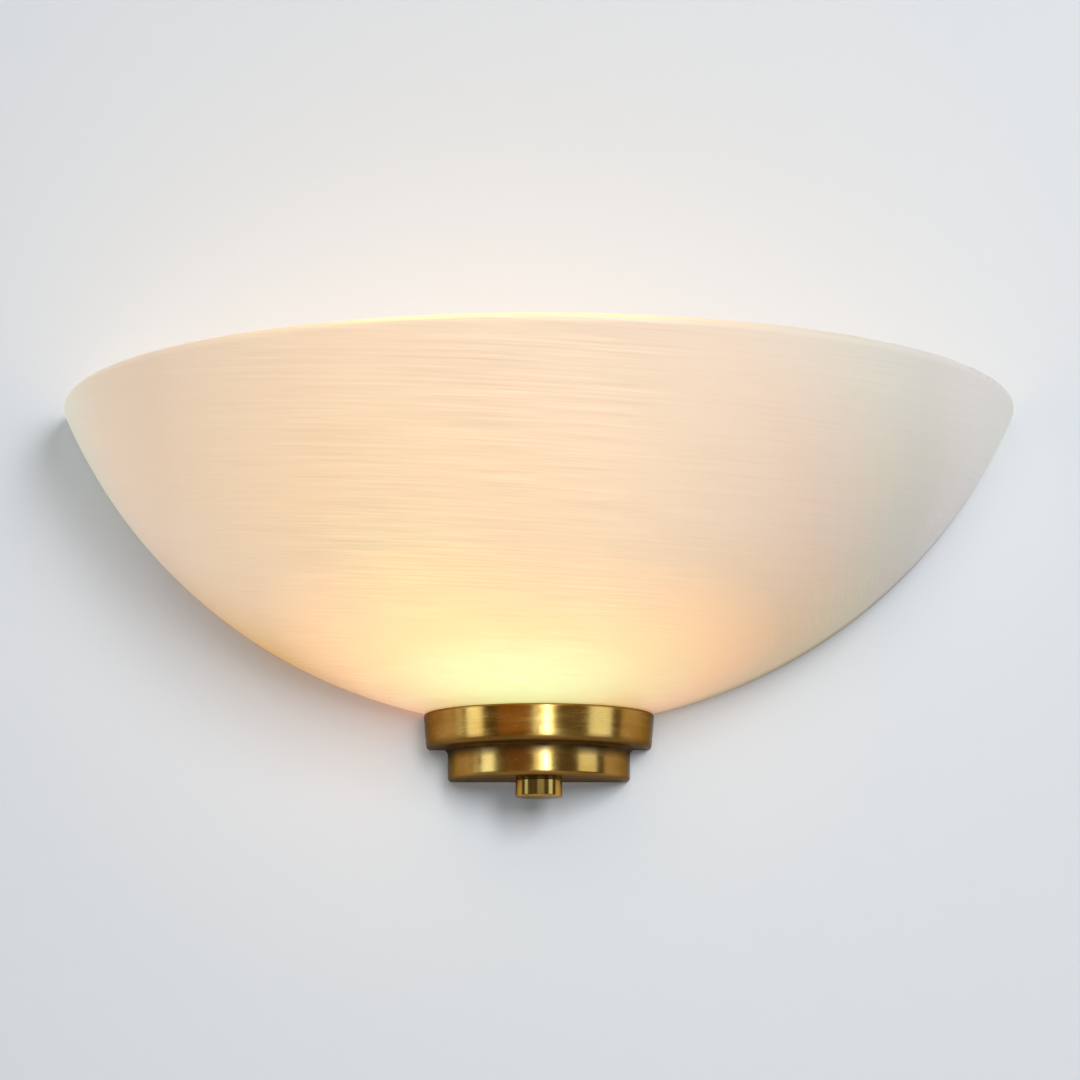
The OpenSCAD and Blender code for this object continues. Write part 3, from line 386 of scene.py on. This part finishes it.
# ---- Threaded rod ----
# A hollow rod of zinc-plated steel, with an M10 x 1 thread rolled along its whole length and
# both ends bevelled. Two nuts hold it in the foot of the arm, and it carries the glass.
def finished(name, mesh, material, sharp):
    """Makes a bmesh an object, in place, smooth but for edges over so many degrees."""
    if mesh.calc_volume(signed=True) < 0:
        bmesh.ops.reverse_faces(mesh, faces=mesh.faces)
    data = bpy.data.meshes.new(name)
    for face in mesh.faces:
        face.smooth = True
    mesh.to_mesh(data)
    mesh.free()
    data.set_sharp_from_angle(angle=math.radians(sharp))
    data.materials.append(material)
    piece = bpy.data.objects.new(name, data)
    scene.collection.objects.link(piece)
    return piece


def rolled_rod():
    radius, bore, bevel, pitch = (rod_high.x - rod_low.x) / 2, 0.0038, 0.0008, 0.001
    root, steps, close = 0.00055, 40, 0.00001
    # one thread: how deep it is, at which part of the pitch
    thread = ((0, 0), (0, 0.12), (root, 0.45), (root, 0.60), (0, 0.93))
    axis = Vector(((rod_low.x + rod_high.x) / 2, rod_y, 0))
    mesh = bmesh.new()
    # a few turns more than the rod is long, cut back afterwards
    line = []
    for turn in range(int((rod_high.z - rod_low.z) / pitch) + 3):
        base = rod_low.z - 1.5 * pitch + turn * pitch
        for depth, rise in thread:
            line.append(mesh.verts.new(axis + Vector((radius - depth, 0, base + rise * pitch))))
    edges = [mesh.edges.new(pair) for pair in zip(line, line[1:])]
    bmesh.ops.spin(mesh, geom=line + edges, cent=axis, axis=(0, 0, 1), angle=2 * math.pi,
                   steps=steps, dvec=(0, 0, pitch / steps), use_merge=False)
    bmesh.ops.remove_doubles(mesh, verts=mesh.verts, dist=close)
    for height, way in ((rod_low.z, -1), (rod_high.z, 1)):
        bmesh.ops.bisect_plane(mesh, geom=mesh.verts[:] + mesh.edges[:] + mesh.faces[:],
                               plane_co=(0, 0, height), plane_no=(0, 0, way), clear_outer=True)
    for vert in mesh.verts:
        end = min(vert.co.z - rod_low.z, rod_high.z - vert.co.z)
        most = radius - max(0, bevel - end)
        flat = (vert.co - axis) * Vector((1, 1, 0))
        if flat.length > most:
            vert.co -= flat * (1 - most / flat.length)
    # flat ends, and the bore between them
    for height in (rod_low.z, rod_high.z):
        ring = [edge for edge in mesh.edges if edge.is_boundary
                and all(abs(vert.co.z - height) < close for vert in edge.verts)]
        hole = bmesh.ops.create_circle(mesh, segments=steps, radius=bore)["verts"]
        bmesh.ops.translate(mesh, vec=axis + Vector((0, 0, height)), verts=hole)
        ring += [edge for edge in mesh.edges if edge.is_wire]
        bmesh.ops.bridge_loops(mesh, edges=ring)
    bmesh.ops.bridge_loops(mesh, edges=[edge for edge in mesh.edges if edge.is_boundary])
    bmesh.ops.remove_doubles(mesh, verts=mesh.verts, dist=close / 10)
    bmesh.ops.recalc_face_normals(mesh, faces=mesh.faces)
    return finished("rolled_thread_rod", mesh, barrel_zinc, sharp=25)


rod = rolled_rod()
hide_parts("threaded_rod")
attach(rod, "root")


# ---- Rubber pad and grommet ----
# Moulded black rubber: the pad spreads the clamp's force over the glass, and the grommet
# is pushed into the cable hole of the wall plate and lines it.
def moulded_rubber():
    material, tree, shader = start_finish("black_rubber", Roughness=0.62, Specular_IOR_Level=0.4)
    place = put(tree, "TexCoord").outputs["Object"]
    grain = noise(tree, place, 1600.0, 2.0)
    chalk = noise(tree, place, 90.0, 6.0)
    tree.links.new(ramp(tree, chalk, (0.40, (0.012, 0.012, 0.013)), (0.72, (0.055, 0.053, 0.050))),
                   shader.inputs["Base Color"])
    relief(tree, shader, grain, 0.3)
    return material


rubber = moulded_rubber()
dress("glass_pad", rubber)
dress("cable_grommet", rubber)


# ---- Silicone bush ----
# A short moulded sleeve of milky silicone, pushed into the hole of the glass, which keeps
# the rod off its edge.
def milky_silicone():
    material, tree, shader = start_finish(
        "milky_silicone", Roughness=0.38, Subsurface_Weight=0.3, Subsurface_Scale=0.002)
    place = put(tree, "TexCoord").outputs["Object"]
    cloud = noise(tree, place, 180.0, 3.0)
    tree.links.new(ramp(tree, cloud, (0.35, (0.62, 0.62, 0.58)), (0.65, (0.78, 0.78, 0.74))),
                   shader.inputs["Base Color"])
    return material


dress("glass_bush", milky_silicone())


# ---- Lampholder ----
# Pressed and fired steatite, unglazed, held on the lamp bracket by two screws. A clip of
# spring bronze in each pin hole grips the lamp.
def fired_steatite():
    material, tree, shader = start_finish("fired_steatite", Roughness=0.55)
    place = put(tree, "TexCoord").outputs["Object"]
    pits = noise(tree, place, 2200.0, 2.0)
    tint = noise(tree, place, 120.0, 4.0)
    base = ramp(tree, tint, (0.35, (0.74, 0.70, 0.60)), (0.62, (0.84, 0.82, 0.75)))
    specks = ramp(tree, pits, (0.30, 0.75), (0.38, 1.0))
    tree.links.new(vectors(tree, "MULTIPLY", base, specks), shader.inputs["Base Color"])
    relief(tree, shader, pits, 0.2)
    return material


def bright_alloy(name, low, high):
    """Stamped or turned copper alloy, with faint drawing lines."""
    material, tree, shader = start_finish(name, Metallic=1.0, Roughness=0.25)
    place = put(tree, "TexCoord").outputs["Object"]
    lines = noise(tree, vectors(tree, "MULTIPLY", place, (2400, 2400, 160)), 1.0, 2.0)
    stain = noise(tree, place, 240.0, 4.0)
    both = maths(tree, "MULTIPLY_ADD", lines, 0.4, maths(tree, "MULTIPLY", stain, 0.6))
    tree.links.new(ramp(tree, both, (0.38, low), (0.60, high)), shader.inputs["Base Color"])
    relief(tree, shader, lines, 0.08)
    return material


dress("lampholder_body", fired_steatite())
bronze = bright_alloy("spring_bronze", (0.52, 0.30, 0.14), (0.74, 0.48, 0.24))
dress("lampholder_clips", bronze)


# ---- Lamp ----
# A two-pin capsule lamp, pushed into the lampholder: quartz glass pinched flat round its
# wires, with a coiled tungsten filament that stands as a narrow arch.
def quartz():
    material, tree, shader = start_finish(
        "quartz_glass", Roughness=0.03, IOR=1.46, Transmission_Weight=0.92)
    place = put(tree, "TexCoord").outputs["Object"]
    haze = noise(tree, place, 300.0, 3.0)
    tree.links.new(ramp(tree, haze, (0.3, (0.90, 0.92, 0.94)), (0.7, (0.98, 0.98, 0.98))),
                   shader.inputs["Base Color"])
    return material


def wire(name, low, high, glow=0.0):
    """Drawn wire of a grey metal; with a glow it gives orange light."""
    material, tree, shader = start_finish(
        name, Metallic=1.0, Roughness=0.32, Emission_Strength=glow)
    place = put(tree, "TexCoord").outputs["Object"]
    grey = noise(tree, place, 700.0, 3.0)
    tree.links.new(ramp(tree, grey, (0.35, low), (0.65, high)), shader.inputs["Base Color"])
    if glow:
        tree.links.new(ramp(tree, grey, (0.3, (1.0, 0.62, 0.28)), (0.7, (1.0, 0.78, 0.45))),
                       shader.inputs["Emission Color"])
    return material


def tube(mesh, radius, length, steps, place=Matrix()):
    """A closed tube that stands up from its place, in rings that can be bent."""
    ring = bmesh.ops.create_circle(mesh, segments=16, radius=radius, matrix=place)["verts"]
    ring += [edge for edge in mesh.edges if edge.is_wire]
    bmesh.ops.spin(mesh, geom=ring, cent=(0, 0, 0), axis=(0, 0, 1), angle=0,
                   steps=steps, dvec=(0, 0, length / steps), use_merge=False)
    bmesh.ops.holes_fill(mesh, edges=[edge for edge in mesh.edges if edge.is_boundary])


def laid(mesh, path, side_on):
    """Lays an upright mesh along a path. path(height) gives a point and the way on from it."""
    for vert in mesh.verts:
        point, way = path(vert.co.z)
        across = (side_on - way * side_on.dot(way)).normalized()
        vert.co = point + across * vert.co.x + way.cross(across) * vert.co.y


def coiled_filament():
    low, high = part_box("lamp_filament")
    coil_r, wire_r, pitch, upright = 0.0007, 0.00013, 0.00042, 0.012
    leg_r, leg_in_coil, steps = 0.00024, 0.001, 14
    y = (low.y + high.y) / 2
    arch = (high.x - low.x) / 2 - coil_r
    bend_z = high.z - coil_r - arch
    coil_z = bend_z - upright
    length = 2 * upright + math.pi * arch

    def arch_path(run):
        """Up one side, over the arch, and down the other."""
        turn = min(max((run - upright) / arch, 0), math.pi)
        way = Vector((math.sin(turn), 0, math.cos(turn)))
        point = Vector((-arch * math.cos(turn), y, bend_z + arch * math.sin(turn)))
        return point + way * (run - upright - turn * arch), way

    mesh = bmesh.new()
    turns = round(length / pitch)
    section = (Matrix.Translation((coil_r - wire_r, 0, wire_r))
               @ Matrix.Rotation(math.pi / 2, 4, "X"))
    ring = bmesh.ops.create_circle(mesh, segments=8, radius=wire_r, matrix=section)["verts"]
    bmesh.ops.spin(mesh, geom=ring + mesh.edges[:], cent=(0, 0, 0), axis=(0, 0, 1),
                   angle=2 * math.pi * turns, steps=steps * turns,
                   dvec=(0, 0, (length - 2 * wire_r) / (steps * turns)), use_merge=False)
    bmesh.ops.holes_fill(mesh, edges=[edge for edge in mesh.edges if edge.is_boundary])
    laid(mesh, arch_path, Vector((0, 1, 0)))
    # the two legs reach up inside the coil
    for side in (-1, 1):
        foot = Matrix.Translation((side * arch, y, low.z))
        tube(mesh, leg_r, coil_z + leg_in_coil - low.z, 1, foot)
    bmesh.ops.recalc_face_normals(mesh, faces=mesh.faces)
    tungsten = wire("glowing_tungsten", (0.30, 0.28, 0.26), (0.42, 0.40, 0.38), glow=6.0)
    piece = finished("coiled_filament", mesh, tungsten, sharp=60)
    piece.data.materials.append(wire("molybdenum_wire", (0.34, 0.33, 0.32), (0.50, 0.49, 0.47)))
    for face in piece.data.polygons:
        face.material_index = int(face.center.z < coil_z - 0.0001)
    return piece


dress("lamp_envelope", quartz())
dress("lamp_pins", wire("nickel_wire", (0.42, 0.41, 0.39), (0.66, 0.65, 0.62)))
filament = coiled_filament()
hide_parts("lamp_filament")
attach(filament, "lamp")


# ---- Terminal block ----
# Natural white nylon, moulded in one with a turret over each screw, and fixed to the wall
# plate by two screws. A turned barrel of copper alloy in each pole takes the wires.
def moulded_nylon():
    material, tree, shader = start_finish(
        "natural_nylon", Roughness=0.45, Subsurface_Weight=0.15, Subsurface_Scale=0.002)
    place = put(tree, "TexCoord").outputs["Object"]
    flow = noise(tree, place, 140.0, 3.0, Distortion=1.0)
    grain = noise(tree, place, 2000.0, 1.0)
    tree.links.new(ramp(tree, flow, (0.35, (0.76, 0.74, 0.66)), (0.65, (0.86, 0.85, 0.80))),
                   shader.inputs["Base Color"])
    relief(tree, shader, grain, 0.12)
    return material


dress("terminal_block", moulded_nylon())
dress("terminal_barrels", bronze)


# ---- Earth screw and ring tag ----
# Yellow brass: the tag is stamped, with a barrel that is crimped on the earth lead, and a
# turned screw holds it flat on the wall plate.
yellow_brass = bright_alloy("yellow_brass", (0.62, 0.44, 0.15), (0.80, 0.60, 0.24))
dress("earth_screw", yellow_brass)
dress("earth_tag", yellow_brass)


# ---- Leads ----
# Stranded copper in silicone rubber. Brown and blue run from the lampholder up the arm to
# the terminal block, green and yellow from the block to the earth tag, held at both ends.
def lead_skin(name, low, high):
    material, tree, shader = start_finish(name, Roughness=0.48, Specular_IOR_Level=0.4)
    place = put(tree, "TexCoord").outputs["Object"]
    bloom = noise(tree, place, 260.0, 4.0)
    skin = noise(tree, place, 2600.0, 1.0)
    tree.links.new(ramp(tree, bloom, (0.35, low), (0.65, high)), shader.inputs["Base Color"])
    relief(tree, shader, skin, 0.12)
    return material


def smooth_path(points):
    """A smooth line through the points; whole numbers of run fall on the points."""
    points = [Vector(point) for point in points]

    def at(run):
        i = min(max(int(run), 0), len(points) - 2)
        t = run - i
        a, b, c, d = (points[min(max(k, 0), len(points) - 1)] for k in range(i - 1, i + 3))
        place = (2 * b + (c - a) * t + (2 * a - 5 * b + 4 * c - d) * t ** 2
                 + (3 * b - a - 3 * c + d) * t ** 3) / 2
        way = (c - a) + 2 * (2 * a - 5 * b + 4 * c - d) * t + 3 * (3 * b - a - 3 * c + d) * t ** 2
        return place, way.normalized()
    return at


def lead(name, node, points, skin, side_on, stripe=None):
    """A round lead through the points. A stripe, if it has one, winds round it."""
    skin_r, rings_a_point, winding, stripe_from = 0.0011, 10, 0.8, 0.25
    run = len(points) - 1
    mesh = bmesh.new()
    tube(mesh, skin_r, run, rings_a_point * run)
    striped = []
    for face in mesh.faces:
        place = face.calc_center_median()
        round_it = math.atan2(place.y, place.x) + winding * place.z
        striped.append(math.cos(2 * round_it) > stripe_from)
    laid(mesh, smooth_path(points), Vector(side_on))
    bmesh.ops.recalc_face_normals(mesh, faces=mesh.faces)
    piece = finished(name, mesh, skin, sharp=50)
    if stripe:
        piece.data.materials.append(stripe)
        for face, on in zip(piece.data.polygons, striped):
            face.material_index = int(on)
    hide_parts(node)
    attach(piece, "root")


def lamp_lead_points(side):
    """From the back of the lampholder, past the rod nut and up the arm to a pole."""
    return [(side * x, y, z) for x, y, z in (
        (0.0045, -0.0435, -0.04388), (0.0045, -0.0375, -0.04388), (0.00918, -0.0296, -0.04188),
        (0.01118, -0.0196, -0.03988), (0.01118, -0.0086, -0.02988), (0.011, -0.0076, -0.01894),
        (0.011, -0.006225, 0), (0.011, -0.006225, 0.009))]


# from the middle pole, behind the blue lead, to the tag
earth_lead_points = [
    (0, -0.006225, 0.009), (0, -0.006225, 0.004), (0.0044, -0.0038, -0.0005),
    (0.011, -0.0031, -0.0025), (0.022, -0.0031, -0.004), (0.026, -0.0037, -0.0141),
    (0.026, -0.0037, -0.0171), (0.026, -0.0037, -0.0231)]
lead("brown_lead", "live_lead", lamp_lead_points(-1),
     lead_skin("brown_silicone", (0.085, 0.030, 0.012), (0.13, 0.050, 0.022)), (1, 0, 0))
lead("blue_lead", "neutral_lead", lamp_lead_points(1),
     lead_skin("blue_silicone", (0.010, 0.060, 0.30), (0.020, 0.10, 0.42)), (1, 0, 0))
lead("striped_lead", "earth_lead", earth_lead_points,
     lead_skin("green_silicone", (0.035, 0.20, 0.020), (0.060, 0.28, 0.035)), (0, 1, 0),
     lead_skin("yellow_silicone", (0.62, 0.48, 0.03), (0.75, 0.60, 0.05)))


# ---- Wall, floor and light ----
# A pale wall that shows only from the room's side, so that the back of the light can be
# looked at through it, a pale floor, and soft studio lights.
def one_sided(name, colour):
    material, tree, shader = start_finish(name, Roughness=0.85, Specular_IOR_Level=0.1)
    shader.inputs["Base Color"].default_value = (*colour, 1)
    clear = put(tree, "BsdfTransparent")
    back = put(tree, "NewGeometry").outputs["Backfacing"]
    mix = put(tree, "MixShader", {0: back, 1: shader.outputs[0], 2: clear.outputs[0]})
    tree.links.new(mix.outputs[0], tree.nodes["Material Output"].inputs["Surface"])
    return material


def stage_sheet(name, centre, length, width, tilt, colour):
    """A flat sheet. It lies face up, or stands and faces the room with a tilt of 90 degrees."""
    place = (Matrix.Translation(centre) @ Matrix.Rotation(math.radians(tilt), 4, "X")
             @ Matrix.Diagonal((length / 2, width / 2, 1, 1)))
    mesh = bmesh.new()
    bmesh.ops.create_grid(mesh, x_segments=1, y_segments=1, size=1, matrix=place)
    data = bpy.data.meshes.new(name)
    mesh.to_mesh(data)
    mesh.free()
    data.materials.append(one_sided(name, colour))
    sheet = bpy.data.objects.new(name, data)
    scene.collection.objects.link(sheet)
    return sheet


room = 5.0
floor_z = -1.0
wall_height = 3.5
# the wall starts just behind the back of the plate
wall_gap = 0.0006
wall = stage_sheet("room_wall", (0, wall_gap, floor_z + wall_height / 2), room, wall_height, 90,
                   (0.80, 0.835, 0.87))
floor = stage_sheet("room_floor", (0, 0, floor_z), room, room, 0, (0.75, 0.75, 0.74))

sky = bpy.data.worlds.new("studio")
sky.use_nodes = True
sky_light = sky.node_tree.nodes["Background"].inputs
sky_light["Color"].default_value = (0.98, 0.99, 1.0, 1)
sky_light["Strength"].default_value = 0.10
scene.world = sky


def linked(name, *objects, leave_out=False):
    """A collection that says which objects a light reaches, or with leave_out passes by."""
    group = bpy.data.collections.new(name)
    for thing in objects:
        group.objects.link(thing)
    if leave_out:
        for member in group.collection_objects:
            member.light_linking.link_state = "EXCLUDE"
    return group


def soft_light(name, azimuth, elevation, distance, width, height, brightness, colour, reached):
    """A soft box, aimed at the light. Azimuth 0 is straight out of the wall and 90 to the
    right. It lights what the collection reached says."""
    aim = Vector((0, -0.05, -0.03))
    data = bpy.data.lights.new(name, "AREA")
    data.shape = "RECTANGLE"
    data.size, data.size_y = width, height
    data.energy = brightness * math.pi * width * height
    data.color = colour
    lamp = bpy.data.objects.new(name, data)
    a, e = math.radians(azimuth), math.radians(elevation)
    out = Vector((math.sin(a) * math.cos(e), -math.cos(a) * math.cos(e), math.sin(e)))
    lamp.location = aim + out * distance
    lamp.rotation_euler = out.to_track_quat("Z", "Y").to_euler()
    lamp.visible_camera = False
    lamp.light_linking.receiver_collection = reached
    scene.collection.objects.link(lamp)
    return lamp


plain, cool = (1, 1, 1), (0.98, 0.99, 1.0)
brass_nodes = [nodes[node] for node in ("gallery_cup", "finial_nut", "finial_washer")]
all_but_brass = linked("all_but_brass", *brass_nodes, leave_out=True)
for name, azimuth, elevation, distance, width, height, brightness, colour in (
        ("key", 20, 15, 1.7, 0.50, 0.80, 13.2, cool),
        ("second_key", -8, 15, 1.7, 0.50, 0.80, 3.4, cool),
        ("front_fill", 0, 2, 1.9, 1.6, 1.2, 0.2, plain),
        ("right_box", 67, 12, 1.3, 0.75, 1.2, 0.25, plain),
        ("left_box", -70, 12, 1.3, 0.75, 1.2, 0.55, plain)):
    soft_light(name, azimuth, elevation, distance, width, height, brightness, colour,
               all_but_brass)

# cool daylight that only the brass mirrors, as bands down the cup and the nut
cup_only = linked("cup_only", nodes["gallery_cup"])
nut_only = linked("nut_only", nodes["finial_nut"], nodes["finial_washer"])
daylight, pale_blue = (0.42, 0.64, 1.0), (0.6, 0.8, 1.0)
distance = 1.3
for name, azimuth, elevation, width, height, brightness, colour, reached in (
        ("cup_centre", 8.5, 8, 0.15, 0.9, 28, (0.36, 0.55, 1.0), cup_only),
        ("cup_centre_soft", 5, 8, 0.52, 0.9, 3.4, daylight, cup_only),
        ("cup_right", 66, 8, 0.62, 0.9, 3.3, daylight, cup_only),
        ("cup_left", -69, 8, 0.44, 0.9, 4.6, daylight, cup_only),
        ("cup_left_soft", -92, 8, 0.42, 0.9, 1.3, pale_blue, cup_only),
        ("cup_warm", -25, -8, 0.8, 0.3, 0.42, (1.0, 0.45, 0.04), cup_only),
        ("nut_centre", 10, 8, 0.8, 0.9, 0.5, pale_blue, nut_only),
        ("nut_right", 62, 8, 0.5, 0.9, 1.9, daylight, nut_only),
        ("nut_left", -66, 8, 0.4, 0.9, 1.7, daylight, nut_only)):
    soft_light(name, azimuth, elevation, distance, width, height, brightness, colour, reached)

# light from behind, for the back of the plate; the wall doesn't stop it
behind = soft_light("behind", 180, 12, distance, 1.2, 0.9, 1.1, plain,
                    linked("inner_pieces", nodes["glass_shade"], *brass_nodes, leave_out=True))
behind.light_linking.blocker_collection = linked("wall_lets_through", wall, floor, leave_out=True)


def lamp_light(name, place, energy, colour, radius):
    """A small round light that stands for the lamp."""
    data = bpy.data.lights.new(name, "POINT")
    data.energy = energy
    data.color = colour
    data.shadow_soft_size = radius
    lamp = bpy.data.objects.new(name, data)
    lamp.location = place
    scene.collection.objects.link(lamp)
    return lamp


lamp_light("lamp_glow", (-0.004, -0.050, 0.020), 0.012, (1.0, 0.5, 0.14), 0.006)
# what comes through the glass warms the wall round it
through = lamp_light("through_glass", (-0.01, -0.040, -0.050), 0.038, (1.0, 0.20, 0.02), 0.02)
through.light_linking.receiver_collection = linked("warmed_wall", wall)
through.light_linking.blocker_collection = linked("glass_lets_through", nodes["glass_shade"],
                                                  leave_out=True)
